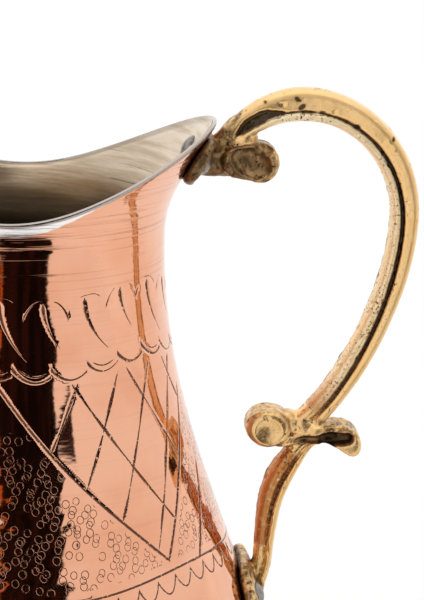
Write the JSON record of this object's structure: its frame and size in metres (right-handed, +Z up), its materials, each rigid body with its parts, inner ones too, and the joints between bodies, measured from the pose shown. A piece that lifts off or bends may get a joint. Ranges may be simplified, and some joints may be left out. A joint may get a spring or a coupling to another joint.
{
  "type": "copper water jug",
  "caption": "Pear-shaped copper water jug with a flared mouth, a pouring lip, a tinned inside, an engraved belly and a riveted S-shaped cast brass handle.",
  "frame": {"origin": "centre of the base's underside, on the table and on the vessel's axis", "axes": "+Z up along the vessel's axis, +X towards the handle, the pouring lip at -X"},
  "size_m": [0.1947, 0.161, 0.2415],
  "materials": {
    "copper": "polished copper with an engraved, darkened pattern",
    "tin": "wiped tin, satin",
    "brass": "rough cast brass, polished on its outer roll",
    "rivet": "hammered"
  },
  "bodies": {
    "root": {"body_wall": "copper", "base_plate": "copper", "seam_solder": "tin", "tin_lining": "tin", "handle": "brass", "high_rivet_near": "rivet", "high_rivet_far": "rivet", "low_rivet_near": "rivet", "low_rivet_far": "rivet"}
  },
  "joints": []
}
